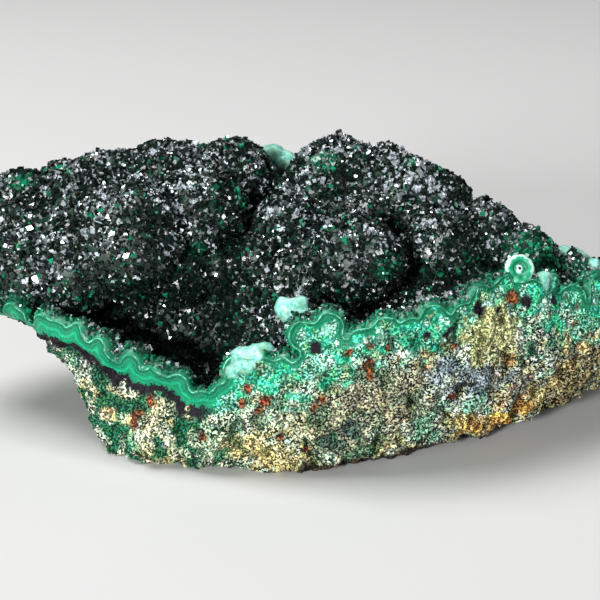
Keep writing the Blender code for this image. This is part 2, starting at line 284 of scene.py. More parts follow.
# The broken sides, station by station round the piece, anticlockwise from the left tip:
# rim x, y, z at the crust's edge; foot x, y, z where the side meets the underside; outward bulge
SIDE_STATIONS = (
    ((-76, 8, 26), (-56, 8, 20), 1),
    ((-66, -1, 26), (-54, 3, 19), 1),
    ((-56, -7, 24), (-46, -6, 13), -1),
    ((-48, -12, 22), (-42, -12, 3), -1),
    ((-39, -17, 20), (-38, -18, 0), 1),
    ((-27, -23, 15), (-30, -22, 0), 2),
    ((-16, -27, 12), (-20, -24, 0), 2),
    ((-9, -28, 20), (-10, -26, 0), 2),
    ((0, -29, 26), (0, -27, 0), 2),
    ((12, -29, 27), (12, -22.5, 0), 2),
    ((22, -27, 28), (24, -18.5, 1), 2),
    ((32, -23, 30), (37, -13, 1.5), 2),
    ((44, -15, 31), (50, -6, 3), 2),
    ((57, -7, 27), (61, 1, 4.5), 2),
    ((67, 2, 22), (69, 8, 5), 2),
    ((75, 13, 15), (70, 16, 5), 1),
    ((68, 23, 18), (60, 20, 5), 1),
    ((56, 27, 26), (48, 22, 3), 2),
    ((42, 29, 30), (34, 24, 1), 3),
    ((26, 32, 33), (20, 26, 0), 3),
    ((8, 33, 36), (6, 27, 0), 3),
    ((-10, 32, 36), (-8, 27, 0), 2),
    ((-26, 34, 36), (-22, 28, 1), 2),
    ((-42, 34, 34), (-36, 26, 3), 2),
    ((-58, 31, 32), (-48, 22, 10), 1),
    ((-71, 22, 28), (-55, 16, 18), 1),
)
SIDE_RINGS = 7  # from the rim to the foot
BULGE_TO_ENDS = 0.35  # how far a side's bulge turns towards the ends of the piece
UNDERSIDE_RINGS = (0.3, 0.6)  # how far in from its edge the rings of the underside lie
UNDERSIDE_SWELL = 3.2  # how far its middle hangs down before it is ground flat
GROUND = (300, 300, 40)  # the slab that is ground away
BLOCK_TOP = 62.0
BREAK_GRAIN = 0.55  # how finely the break is meshed
BREAK_LUMPS = 1.5
BREAK_LUMP_SIZE = 9.0
# Of two values for one thing, the first holds at the left end, the second further right; they change here
THINS_FROM, THINS_TO = -22, -6
SMOOTH_DEPTH = (1.6, 0.8)  # how deep the break is smooth
SMOOTH_WAVER = 0.6  # how far that wavers
WAVER_SIZE = 3.1
CRUMBLE_DEPTH = 1.0  # over this much more, the break turns as rough as the rock
CRUMB_SIZE = 2.3
CRUMB_RELIEF = 1.5
GRIT_SIZE = 1.15
GRIT_RELIEF = 0.45
PIT_SIZE = 3.4
PIT_LEVEL = (0.06, 0.16)  # the noise level at which pits open
PIT_DEPTH = 4.2


def side_point(rim, foot, bulge, share):
    """A point on a broken side, from its rim at share 0 to its foot at share 1."""
    here = Vector(rim).lerp(Vector(foot), share)
    outward = Vector((here.x * BULGE_TO_ENDS, here.y, 0)).normalized()
    return point(*(here + outward * bulge * 4 * share * (1 - share)))


def broken_block():
    """What the break left: a block with these sides and an underside, and a top clear of every mound."""
    builder = bmesh.new()

    def walled(upper, places):
        """A ring of new points, joined to the ring before it."""
        lower = [builder.verts.new(place) for place in places]
        for i in range(len(upper)):
            j = (i + 1) % len(upper)
            builder.faces.new((upper[j], upper[i], lower[i], lower[j]))
        return lower

    ring = [builder.verts.new(point(rim[0], rim[1], BLOCK_TOP)) for rim, _, _ in SIDE_STATIONS]
    builder.faces.new(ring)
    for step in range(SIDE_RINGS + 1):
        ring = walled(ring, [side_point(*station, step / SIDE_RINGS) for station in SIDE_STATIONS])
    centre = sum((vertex.co for vertex in ring), Vector()) / len(ring)
    for inward in UNDERSIDE_RINGS:
        places = [vertex.co.lerp(centre, inward) for vertex in ring]
        for place, vertex in zip(places, ring):
            place.z = vertex.co.z * (1 - inward) - UNDERSIDE_SWELL * MM * inward
        ring = walled(ring, places)
    builder.faces.new(list(reversed(ring)))
    bmesh.ops.recalc_face_normals(builder, faces=builder.faces)
    return fused(object_of(builder, "block"), BREAK_GRAIN)


def tree_of(piece):
    """A piece's surface, in the form that finds the nearest point on it."""
    builder = bmesh.new()
    builder.from_mesh(piece.data)
    tree = BVHTree.FromBMesh(builder)
    builder.free()
    return tree


def numbers(source, name, width=1, kind=np.float32):
    """One property of every item of a mesh, as an array."""
    found = np.empty(len(source) * width, kind)
    source.foreach_get(name, found)
    return found.reshape(-1, width) if width > 1 else found


def put_at(mesh, places):
    """Sets where every point of a mesh is."""
    mesh.vertices.foreach_set("co", places.astype(np.float32).ravel())
    mesh.update()


def moved(mesh, steps):
    """Moves every point of a mesh by its own step, in millimetres."""
    put_at(mesh, numbers(mesh.vertices, "co", 3) + steps * MM)


def keep_in_box(mesh):
    """No part of a mesh passes the box that the solids fill."""
    put_at(mesh, numbers(mesh.vertices, "co", 3).clip(*np.array(cad_box)))


def across_piece(pair, x):
    """One number at the left end, another further right, and a smooth change between them."""
    return pair[0] + (pair[1] - pair[0]) * eased(THINS_FROM, THINS_TO, x / MM)


def bumps(place, size):
    """Rounded bumps, crowded together at a size: 0.45 on top of one, and below 0 between them."""
    return 0.45 - noise.voronoi(place / size)[0][0]


def roughen(block):
    """Gives the block's sides their relief: lumps everywhere, and crumbs, grit and pits in the rock."""
    mesh = block.data
    outward = numbers(mesh.vertices, "normal", 3)
    reliefs = []
    for vertex in mesh.vertices:
        place = vertex.co / MM
        relief = BREAK_LUMPS * noise.fractal(place / BREAK_LUMP_SIZE, 1.0, 2.2, 3)
        depth = free_side.find_nearest(vertex.co)[3] / MM
        smooth = across_piece(SMOOTH_DEPTH, vertex.co.x) + SMOOTH_WAVER * noise.noise(place / WAVER_SIZE)
        if depth > smooth:
            crumb = CRUMB_RELIEF * bumps(place, CRUMB_SIZE)
            grit = GRIT_RELIEF * bumps(place, GRIT_SIZE)
            pit = max(noise.noise(place / PIT_SIZE) - across_piece(PIT_LEVEL, vertex.co.x), 0.0)
            relief += eased(0.0, CRUMBLE_DEPTH, depth - smooth) * (crumb + grit - PIT_DEPTH * pit)
        reliefs.append(relief)
    moved(mesh, outward * np.array(reliefs)[:, None])


def ground_flat(piece):
    """Grinds away what lies under the plane that the piece rests on."""
    builder = bmesh.new()
    bmesh.ops.create_cube(builder, size=1.0)
    bmesh.ops.scale(builder, verts=builder.verts, vec=Vector(GROUND) * MM)
    bmesh.ops.translate(builder, verts=builder.verts, vec=Vector((0, 0, -GROUND[2] / 2)) * MM)
    ground = object_of(builder, "ground")
    cut(piece, "DIFFERENCE", ground)
    bpy.data.objects.remove(ground)


def keep_largest(piece):
    """Drops the crumbs that the break cut loose."""
    builder = bmesh.new()
    builder.from_mesh(piece.data)
    waiting = set(builder.verts)
    bodies = []
    while waiting:
        reached = [waiting.pop()]
        for vertex in reached:
            for edge in vertex.link_edges:
                other = edge.other_vert(vertex)
                if other in waiting:
                    waiting.remove(other)
                    reached.append(other)
        bodies.append(reached)
    bodies.sort(key=len)
    for crumb in bodies[:-1]:
        bmesh.ops.delete(builder, geom=crumb, context="VERTS")
    builder.to_mesh(piece.data)
    builder.free()


def finish_named(name):
    """A new material, whose nodes are joined up further on."""
    material = bpy.data.materials.new(name)
    material.use_nodes = True
    return material


def coat(mesh, material):
    """Gives the whole of a mesh one material."""
    mesh.materials.clear()
    mesh.materials.append(material)


def faces_under(mesh, material):
    """Which faces of a mesh have a material."""
    return numbers(mesh.polygons, "material_index", kind=np.int32) == mesh.materials.find(material.name)


def points_under(mesh, material):
    """The points that the faces of one material use."""
    corners = np.repeat(faces_under(mesh, material), numbers(mesh.polygons, "loop_total", kind=np.int32))
    return set(numbers(mesh.loops, "vertex_index", kind=np.int32)[corners].tolist())


druse_bed = finish_named("druse_bed")
banded_malachite = finish_named("banded_malachite")
granular_rock = finish_named("granular_rock")

crust = growth("banded_crust", CRYSTAL_BED, BED_GRAIN)
rock = growth("granular_host_rock", CRUST, SEAT_GRAIN)
keep_largest(rock)
block = broken_block()
free_side = tree_of(crust)
roughen(block)
ground_flat(block)
for piece, material in ((crust, druse_bed), (rock, granular_rock), (block, banded_malachite)):
    coat(piece.data, material)
cut(crust, "DIFFERENCE", rock)
cut(crust, "INTERSECT", block)
block.data.materials[0] = granular_rock
cut(rock, "INTERSECT", block)
bpy.data.objects.remove(block)
keep_largest(crust)

LEAST_RIM = 60  # a closed line of fewer points is only a small hole


def rim_places():
    """The points along which the crust's free side meets its broken side."""
    rim = points_under(crust.data, druse_bed) & points_under(crust.data, banded_malachite)
    links = {index: [] for index in rim}
    for edge in crust.data.edges:
        first, second = edge.vertices
        if first in links and second in links:
            links[first].append(second)
            links[second].append(first)
    found = []
    while rim:
        line = [rim.pop()]
        for index in line:
            fresh = rim.intersection(links[index])
            rim -= fresh
            line.extend(sorted(fresh))
        if len(line) >= LEAST_RIM:
            found.extend(line)
    return [crust.data.vertices[index].co for index in sorted(found)]


rim = rim_places()
rim_tree = KDTree(len(rim))
for index, place in enumerate(rim):
    rim_tree.insert(place, index)
rim_tree.balance()


def paint(red, green, blue):
    """A colour given in 0 to 255 screen values, as the linear colour that a shader takes."""
    shares = [value / 255 for value in (red, green, blue)]
    return tuple(s / 12.92 if s < 0.04045 else ((s + 0.055) / 1.055) ** 2.4 for s in shares) + (1.0,)


def join_up(tree, value, socket):
    """Links a node's output to a socket, or sets the socket to a plain value."""
    if isinstance(value, bpy.types.NodeSocket):
        tree.links.new(value, socket)
    else:
        socket.default_value = value


def add(tree, kind, inputs=(), **settings):
    """A shader node with its settings. An input is a plain value, or another node's output."""
    made = tree.nodes.new("ShaderNode" + kind)
    for name, value in settings.items():
        setattr(made, name, value)
    for socket, value in dict(inputs).items():
        join_up(tree, value, made.inputs[socket])
    return made


def stored(tree, name):
    """What store() kept, as Fac for a number and Color or Vector for the rest."""
    return add(tree, "Attribute", attribute_name=name).outputs


def speckle(tree, size, detail=2.0, vector=None):
    """Noise whose lumps are about a size across, in millimetres, from 0 to 1."""
    place = vector or add(tree, "TexCoord").outputs["Object"]
    inputs = {"Vector": place, "Scale": 1 / (size * MM), "Detail": detail, "Roughness": 0.55}
    return add(tree, "TexNoise", inputs).outputs[0]


def fitted(tree, value, low, high, to_low=0.0, to_high=1.0):
    """A value taken from one range to another, and held within it."""
    inputs = {0: value, 1: low, 2: high, 3: to_low, 4: to_high}
    return add(tree, "MapRange", inputs, interpolation_type="SMOOTHSTEP").outputs[0]


NOISE_SPAN = (0.3, 0.7)  # nearly all of a noise lies between these


def spread(tree, pattern, low, high):
    """A noise spread over a range of values."""
    return fitted(tree, pattern, *NOISE_SPAN, low, high)


def worked(tree, operation, first, second=0.0):
    """A sum, a product or another working of two values."""
    return add(tree, "Math", {0: first, 1: second}, operation=operation).outputs[0]


def blended(tree, share, first, second):
    """One colour laid over another by a share."""
    return add(tree, "Mix", {0: share, 6: first, 7: second}, data_type="RGBA").outputs[2]


def shaded(tree, colour, value, hue=0.5):
    """A colour made darker or lighter by a value about 1, and turned by a hue about 0.5."""
    return add(tree, "HueSaturation", {"Color": colour, "Value": value, "Hue": hue}).outputs[0]


def ramped(tree, value, stops):
    """A run of colours along a value, each stop as where it lies and its screen colour."""
    made = add(tree, "ValToRGB", {0: value})
    ramp = made.color_ramp
    while len(ramp.elements) < len(stops):
        ramp.elements.new(1.0)
    for element, (where, colour) in zip(ramp.elements, stops):
        element.position = where
        element.color = paint(*colour)
    return made.outputs[0]


def put_out(group, **outputs):
    """Gives a node group its outputs: a colour where one is named Color, and otherwise a number."""
    for name in outputs:
        kind = "NodeSocketColor" if name == "Color" else "NodeSocketFloat"
        group.interface.new_socket(name=name, in_out="OUTPUT", socket_type=kind)
    shown = group.nodes.new("NodeGroupOutput")
    for name, value in outputs.items():
        group.links.new(value, shown.inputs[name])


def finished(material, colour, roughness, relief=None, relief_height=0.1, **plain):
    """Joins a material's colour, roughness and relief to its shader, and sets what is the same all over."""
    tree = material.node_tree
    shader = tree.nodes["Principled BSDF"]
    join_up(tree, colour, shader.inputs["Base Color"])
    join_up(tree, roughness, shader.inputs["Roughness"])
    if relief:
        bump = add(tree, "Bump", {"Height": relief, "Distance": relief_height * MM, "Strength": 1.0})
        tree.links.new(bump.outputs[0], shader.inputs["Normal"])
    for socket, value in plain.items():
        shader.inputs[socket.replace("_", " ")].default_value = value
    return shader


def store(mesh, name, kind, values, domain="POINT"):
    """Keeps a number or a colour for every point or corner of a mesh, for its material to read."""
    values = np.asarray(values, np.float32)
    field = {"FLOAT": "value", "FLOAT_VECTOR": "vector", "FLOAT_COLOR": "color"}[kind]
    if kind == "FLOAT_COLOR":
        values = np.concatenate([values, np.ones((len(values), 1), np.float32)], axis=1)
    mesh.attributes.new(name, kind, domain).data.foreach_set(field, values.ravel())


# Kinds of crumb: how many in a hundred, and the screen colours of its pale grains and its dark gaps
CRUMB_TONES = (
    (14, (164, 216, 184), (4, 72, 50)),
    (24, (226, 242, 212), (10, 44, 32)),
    (16, (208, 224, 214), (20, 32, 36)),
    (24, (230, 232, 186), (30, 42, 30)),
    (16, (236, 226, 156), (50, 46, 26)),
    (6, (206, 166, 108), (66, 40, 20)),
)
# The same where malachite stains them
MINT_TONES = (
    (44, (84, 226, 180), (2, 136, 98)),
    (28, (208, 248, 230), (0, 122, 90)),
    (28, (150, 238, 204), (0, 102, 74)),
)
# Stained crumbs that come up more than once
OCHRE = ((244, 230, 164), (140, 112, 56))
STRAW = ((236, 218, 142), (112, 88, 42))
DEEP_GREEN = ((60, 160, 112), (2, 52, 34))
LEAF_STAIN = ((40, 140, 98), (0, 60, 40))
# Stains: x, y, z, reach, how fully they cover, pale grains, dark gaps
STAINS = (
    (-34, -20, 9, 15, 0.8, (232, 244, 216), (2, 74, 48)),
    (-18, -25, 7, 13, 0.8, (232, 240, 204), (2, 66, 44)),
    (-3, -28, 12, 11, 0.7, (224, 240, 206), (4, 76, 52)),
    (64, -2, 18, 15, 1.0, (168, 156, 114), (34, 26, 16)),
    (54, -6, 8, 11, 1.0, (168, 154, 110), (34, 26, 16)),
    (60.9, -4.2, 20, 2.2, 0.9, *OCHRE),
    (57.8, -5.4, 17.2, 2.2, 0.9, *OCHRE),
    (54.7, -6.6, 14.4, 2.2, 0.9, *OCHRE),
    (51.8, -7.2, 10.8, 2.2, 0.9, *OCHRE),
    (48.8, -7.8, 7.6, 2.2, 0.9, *OCHRE),
    (9.6, -27.5, 11.6, 14, 0.85, (196, 190, 152), (48, 50, 46)),
    (17.2, -26.5, 15.3, 10, 0.8, (196, 188, 150), (52, 52, 46)),
    (-38.3, -18.4, 11.8, 6, 0.7, (214, 204, 160), (52, 70, 50)),
    (-35.3, -20.8, 6.4, 5, 0.9, (60, 150, 108), (8, 52, 38)),
    (-30, -22, 12, 6, 0.5, (206, 200, 150), (60, 64, 48)),
    (-20, -25, 7, 8, 0.5, (90, 170, 128), (12, 60, 44)),
    (34.9, -20.8, 18.1, 8.5, 0.85, (160, 178, 186), (38, 56, 74)),
    (26.8, -24.4, 20.6, 4.5, 0.8, (156, 174, 184), (36, 52, 72)),
    (43.8, -13.8, 13, 5, 0.6, (160, 170, 176), (48, 54, 66)),
    (-6.8, -27.3, 4.7, 6, 0.9, *STRAW),
    (-11.6, -27, 5, 5, 0.9, *STRAW),
    (-30, -23, 12.5, 3.2, 0.9, (240, 226, 176), (110, 96, 60)),
    (-33.5, -21.5, 8, 2.6, 0.9, (238, 220, 164), (118, 96, 56)),
    (-37.5, -19, 9.5, 2.6, 0.9, (238, 220, 160), (118, 92, 50)),
    (-39.5, -17.5, 13.5, 2.6, 0.9, (236, 214, 150), (110, 84, 46)),
    (-31.5, -21.5, 3.6, 3.0, 0.9, *DEEP_GREEN),
    (-35.5, -20.5, 10.5, 2.4, 0.9, (40, 130, 90), (2, 48, 32)),
    (-15.5, -26.5, 3.4, 3.0, 0.9, *DEEP_GREEN),
    (-22.5, -24.5, 9.5, 2.6, 0.8, (70, 170, 122), (2, 56, 38)),
    (-26, -22, 2, 7, 0.6, (224, 210, 140), (96, 84, 44)),
    (5.8, -27.7, 7.4, 4.5, 0.95, (84, 122, 104), (14, 24, 28)),
    (9.6, -27.1, 9.3, 3.6, 0.9, (84, 112, 104), (14, 22, 30)),
    (45, -13.5, 20, 3.2, 0.95, *LEAF_STAIN),
    (50, -10.5, 21.5, 2.8, 0.95, *LEAF_STAIN),
    (36.5, -19, 14, 2.4, 0.9, (30, 90, 80), (6, 26, 34)),
    (12, -24, 3, 5, 0.8, (80, 150, 112), (14, 50, 40)),
    (40.3, -12.5, 4.8, 5.5, 0.9, (240, 198, 96), (132, 82, 28)),
    (44.5, -10.6, 6.2, 4, 0.9, (240, 190, 96), (132, 82, 28)),
    (33.9, -15.8, 4.8, 4.5, 0.9, (240, 200, 100), (128, 84, 30)),
)
# One patch is lime yellow
LIME_PATCH = (37.2, -20.2, 26.2, 7.6, (232, 234, 172), (112, 122, 70))
# Where the green stain reaches further: x, y, z, reach
GREEN_PATCHES = (
    (50, -10, 29.5, 6.5), (57, -6, 27.5, 5.0), (44.5, -13.5, 31, 4.5), (24.5, -25, 27.5, 4.0),
    (5, -28.5, 25.5, 4.5),
)
# Spots of rust, hard edged: x, y, z, radius
RUST_SPOTS = (
    (-6.6, -29.3, 16.5, 1.1), (-7.6, -29.4, 14.1, 1.0), (-11.1, -28.7, 10.9, 1.0), (-3.8, -28.4, 8.4, 0.9),
    (-29.3, -22.4, 13.1, 1.1), (-18.5, -27.4, 8.1, 0.8), (12.8, -28.6, 23.0, 1.5), (13.5, -28.6, 21.8, 1.2),
    (9.0, -29, 26.2, 0.8), (28.8, -24.1, 25.2, 1.3), (40.9, -17.2, 32.7, 1.5), (31.3, -21.1, 14.4, 1.2),
    (29.8, -22.0, 14.0, 0.9), (4.4, -29.3, 16.5, 0.9), (2.7, -29.3, 14.9, 0.9), (54.8, -8.8, 23.9, 0.9),
    (56, -7.9, 27.4, 0.8), (13.3, -28.7, 27.3, 0.7), (16.6, -27.9, 26.6, 0.7), (-11.4, -28.5, 15.1, 0.9),
    (-31.1, -22.3, 11.4, 1.2), (-10.2, -28.4, 18.4, 0.9), (-32.3, -22.5, 8.7, 1.1), (1, -28.5, 5.7, 0.9),
    (-20, 28, 16, 1.6), (14, 27, 22, 1.4), (33, 24, 12, 1.5), (-44, 24, 24, 1.3),
)
# Black spots, hard edged: x, y, z, radius
BLACK_SPOTS = (
    (34.0, -20.5, 31.5, 1.7), (28.8, -24, 29.0, 1.1), (27.4, -24.5, 27.6, 0.9), (31.6, -22.0, 15.2, 1.5),
    (33.4, -21.2, 15.6, 1.2), (3.0, -28.5, 26.5, 1.3), (-4.4, -28, 27.5, 1.2), (8.8, -29, 28.6, 1.0),
    (24.0, -26, 28.0, 0.9), (44.0, -14.6, 30.5, 1.6), (50.0, -10.5, 30.0, 1.3), (38.5, -18.5, 30.5, 1.0),
    (-3, -28, 13, 0.9), (-22, -24, 6, 1.0),
)
# The skin of black manganese between the crust and the rock at the left
BLACK_SKIN = 2.2
BLACK_FROM, BLACK_TO = -20, -14  # it ends between these
BLACK = ((30, 26, 36), (12, 10, 16))
RUST = ((158, 92, 50), (46, 20, 10))
RUST_RIM = ((96, 70, 44), (24, 16, 10))
RIM_REACH = 1.4  # how far the rim of rust reaches, as a share of its radius
# The dark brown along the foot of the broken side: partly the rock's own brown, partly painted shade where
# the piece meets the floor
FOOT_BROWN_AND_SHADE = ((74, 62, 46), (16, 13, 10))
FOOT_SHADE_TOP = 2.4
FOOT_SHADE_FROM, FOOT_SHADE_TO = -6, 2  # it starts between these
CRUMB_SPREADS = (977, 577)  # how far the crumbs are set apart in a noise, so that none is like its neighbour
CRUMB_GAP = 0.16  # how much of a crumb's width its dark edges take
GAP_SHADE = 0.5  # and how dark they are
GAP_LIGHT = 0.4  # how light the gaps are left, as a share of their colour
MINT_GAP_LIGHT = 0.36  # and how much lighter where malachite stains them
BROAD_SIZE = 7.0  # the size of broad changes
RAGGED_SIZE = 2.2  # and of ragged edges
MINT_REACH = (1.2, 8.5)  # how far below the band malachite stains the rock
BAND_WIDTH = (3.0, 1.15)  # how wide the band of clean malachite is
BAND_WAVER = 1.1  # and how far that wavers
LUMP_SIZE = 2.8
LUMP_DARK = (0.5, 0.35)  # how far the darkest lumps lose their pale grains
LUMP_PALE = 0.1  # and how far the palest lose their dark gaps
PIT_STAIN = (0.95, 0.5)  # how fully malachite stains the pits
PITS_FROM, PITS_TO = 28, 36  # they are stained no further than this
PIT_GREEN = ((22, 122, 82), (0, 36, 26))


def from_rim(places):
    """How far each place lies from the rim of the crust, in millimetres."""
    return np.array([rim_tree.find(place)[2] / MM for place in places.tolist()])


def distances(places, x, y, z):
    """How far each place lies from a spot, in millimetres."""
    return np.linalg.norm(places - np.array(point(x, y, z)), axis=1) / MM


def waves(places, size):
    """Smooth noise at each place, from -1 to 1, whose waves are a size in millimetres."""
    return np.array([noise.noise(Vector(place) / (size * MM)) for place in places.tolist()])


def below_band(places):
    """How far each place lies from the crust's rim, past the band of clean malachite, in millimetres."""
    band = across_piece(BAND_WIDTH, places[:, 0]) + BAND_WAVER * waves(places, WAVER_SIZE)
    return from_rim(places) - band


def painted(tones):
    """Screen colours as a shader takes them."""
    return np.array([paint(*tone)[:3] for tone in tones])


def toned(table, picks):
    """Each crumb's pale and dark colour out of a table."""
    shares = np.cumsum([row[0] for row in table]) / 100
    kind = np.searchsorted(shares, np.clip(picks, 0, shares[-1] - 0.001))
    return np.array([painted(row[1:]) for row in table])[kind]


def rock_tones(places):
    """The rock's pale and dark colour at each place."""
    x, z = places[:, 0], places[:, 2]
    spots = [Vector(place) / MM for place in places.tolist()]
    crumbs = [noise.voronoi(spot / CRUMB_SIZE) for spot in spots]
    gaps = 1 - eased(0.0, CRUMB_GAP, np.array([found[0][1] - found[0][0] for found in crumbs]))

    def picked(far):
        """A number from 0 to 1 for each place, the same all over a crumb."""
        return np.array([noise.cell(found[1][0] * far) for found in crumbs]) % 1

    def patchy(size, shift=0):
        """Ragged noise whose patches are a size in millimetres."""
        return np.array([noise.fractal(spot / size + Vector((shift, 0, 0)), 1.0, 2.1, 3) for spot in spots])

    picks, others = (picked(far) for far in CRUMB_SPREADS)
    broad, ragged, lumps = patchy(BROAD_SIZE), patchy(RAGGED_SIZE), patchy(LUMP_SIZE, 40)
    # Like crumbs lie together in broad patches, with some others among them
    tones = toned(CRUMB_TONES, 0.5 + 0.8 * broad + 0.4 * (picks - 0.5))

    def lay(share, tone):
        """Lays a pale and a dark colour over what is there, by a share."""
        tones[:] += np.clip(share, 0, 1)[:, None, None] * (tone - tones)

    def near(stain, edge):
        """1 well inside a stain, and 0 outside its ragged edge."""
        away = distances(places, *stain[:3])
        return eased(0.0, edge, 1.0 + 0.5 * ragged + 0.3 * (picks - 0.5) - away / stain[3])

    def taken_by(share, rest):
        """1 for this share of the crumbs, and less for the rest."""
        return np.where(picks < share, 1.0, rest)

    below = below_band(places)
    mint = eased(0.0, 0.7, 1.0 + 0.8 * ragged + 0.6 * broad - below / across_piece(MINT_REACH, x))
    for stain in STAINS:
        lay(stain[4] * near(stain, 0.5) * taken_by(0.7, 0.55), painted(stain[5:]))
    mint_tones = toned(MINT_TONES, others)
    lay(mint * taken_by(0.84, 0.5), mint_tones)
    for patch in GREEN_PATCHES:
        lay(0.9 * near(patch, 0.4), mint_tones)
    lay(near(LIME_PATCH, 0.25) * taken_by(0.8, 0.6), painted(LIME_PATCH[4:]))

    # Dark lumps lose their grains, and pale ones their gaps
    thinned = across_piece(LUMP_DARK, x) * (1 - eased(-0.3, 0.0, lumps))
    filled = LUMP_PALE * eased(0.0, 0.4, lumps)
    span = tones[:, 0] - tones[:, 1]
    tones[:, 0] -= span * thinned[:, None]
    tones[:, 1] *= (GAP_LIGHT + MINT_GAP_LIGHT * np.clip(mint, 0, 1))[:, None]
    tones[:, 1] += span * filled[:, None]

    # Malachite lies in the pits, manganese under the crust and rust in spots; along the foot a dark brown is
    # partly the rock's own and partly painted shade
    pits = np.array([noise.noise(spot / PIT_SIZE) for spot in spots]) - across_piece(PIT_LEVEL, x)
    pits = eased(-0.08, 0.02, pits + 0.12 * ragged) * eased(PITS_TO, PITS_FROM, x / MM)
    lay(across_piece(PIT_STAIN, x) * pits, painted(PIT_GREEN))
    skin_end = eased(BLACK_TO, BLACK_FROM, x / MM)
    lay(skin_end * eased(0.0, 0.4, BLACK_SKIN + 1.8 * ragged - below), painted(BLACK))
    for spot in BLACK_SPOTS:
        lay(near(spot, 0.15), painted(BLACK))
    # Darker brown towards the bottom: partly the rock's colour, partly painted shade where the piece meets
    # the floor
    foot = eased(FOOT_SHADE_FROM, FOOT_SHADE_TO, x / MM) * eased(0.0, 1.0, FOOT_SHADE_TOP + 1.6 * ragged - z / MM)
    lay(foot, painted(FOOT_BROWN_AND_SHADE))
    for *spot, radius in RUST_SPOTS:
        lay(0.8 * near((*spot, radius * RIM_REACH), 0.2), painted(RUST_RIM))
        lay(near((*spot, radius), 0.12), painted(RUST))
    tones[:, 0] *= (1 - GAP_SHADE * gaps)[:, None]
    return tones


def paint_crumbs(mesh):
    """Stores the pale and dark colour that each point of a broken face has, for crumbled_rock to mix."""
    tones = rock_tones(numbers(mesh.vertices, "co", 3).astype(float))
    store(mesh, "pale", "FLOAT_COLOR", tones[:, 0])
    store(mesh, "dark", "FLOAT_COLOR", tones[:, 1])


# Pale grains among dark gaps, which both the rock and the foot of the crust show where they broke
FINE_GRAIN, COARSE_GRAIN = 0.43, 2.4
FINE_SHARE = 0.86  # how much of the pattern is the fine one
GRAIN_LEVEL = (0.496, 0.53)  # the pattern is a gap below the first, and a grain above the second

crumbled_rock = bpy.data.node_groups.new("crumbled_rock", "ShaderNodeTree")
tree = crumbled_rock
fine = speckle(tree, FINE_GRAIN)
coarse = worked(tree, "MULTIPLY", speckle(tree, COARSE_GRAIN, detail=3.0), 1 - FINE_SHARE)
mix = worked(tree, "ADD", worked(tree, "MULTIPLY", fine, FINE_SHARE), coarse)
grain_share = fitted(tree, mix, *GRAIN_LEVEL)
mixed = blended(tree, grain_share, stored(tree, "dark")["Color"], stored(tree, "pale")["Color"])
lightness = fitted(tree, speckle(tree, 0.7), 0.35, 0.65, 0.62, 1.6)
tinted = shaded(tree, mixed, lightness, hue=spread(tree, speckle(tree, 0.9), 0.465, 0.535))
put_out(tree, Color=tinted, Relief=mix, Roughness=spread(tree, fine, 0.95, 0.7))

keep_in_box(rock.data)
rock.data.shade_smooth()
coat(rock.data, granular_rock)
paint_crumbs(rock.data)
crumbs = add(granular_rock.node_tree, "Group", node_tree=crumbled_rock).outputs
finished(
    granular_rock, crumbs["Color"], crumbs["Roughness"], crumbs["Relief"], relief_height=0.4,
    Specular_IOR_Level=0.2,
)
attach(rock, "root")
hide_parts("host_rock")

# --- The malachite crust ------------------------------------------------------------------------
# One botryoidal crust of banded malachite, a few millimetres thick. Its bands run parallel to its free
# side, and show along the edge where it broke; below them it is mixed with crumbs of the rock.

# Where the skin of the bare bubbles laps over the broken edge: x, y, z, radius
LAPS = (
    (-10.8, -27.4, 23.4, 2.8),
    (-8.8, -27.5, 25.6, 2.6),
    (-12.9, -27.4, 21.6, 1.8),
    (5.0, -27.6, 30.2, 1.6),
)
BARE_CENTRES = [(point(*bubble[:3]), bubble[3]) for bubble in BARE_BUBBLES + LAPS]
BARE_EDGE = 0.45  # the skin ends over this width
WRINKLE_SIZE = 2.1
WRINKLE_DEPTH = 0.5


def bareness(places):
    """1 where a bubble stands clear of the druse, and 0 away from it."""
    spots = [Vector(place) for place in places.tolist()]
    clear = [min((spot - centre).length / MM - radius for centre, radius in BARE_CENTRES) for spot in spots]
    return 1 - eased(0.0, BARE_EDGE, np.array(clear) + CRYSTAL_BED)


crust_places = numbers(crust.data.vertices, "co", 3).astype(float)
past_band = below_band(crust_places)
bare = bareness(crust_places).astype(np.float32)
roots = [free_side.find_nearest(place)[0][:] for place in crust_places.tolist()]
store(crust.data, "past_band", "FLOAT", past_band)
store(crust.data, "rim", "FLOAT", from_rim(crust_places))
store(crust.data, "root", "FLOAT_VECTOR", roots)
store(crust.data, "bare", "FLOAT", bare)
paint_crumbs(crust.data)
crust_spots = [Vector(place) / (WRINKLE_SIZE * MM) for place in crust_places.tolist()]
uneven = WRINKLE_DEPTH * np.array([noise.fractal(spot, 1.0, 2.1, 2) for spot in crust_spots]) * bare
moved(crust.data, uneven[:, None] * numbers(crust.data.vertices, "normal", 3))
keep_in_box(crust.data)
crust.data.shade_smooth()

# The bare skin, pale turquoise with a yellower mottling
bare_skin = bpy.data.node_groups.new("bare_skin", "ShaderNodeTree")
tree = bare_skin
clouded = fitted(tree, speckle(tree, 0.9, detail=4.0), 0.35, 0.65)
skin = blended(tree, clouded, paint(84, 172, 152), paint(158, 212, 198))
yellowed = fitted(tree, speckle(tree, 2.6, detail=3.0), 0.52, 0.7, 0.0, 0.6)
put_out(tree, Color=blended(tree, yellowed, skin, paint(136, 178, 124)))

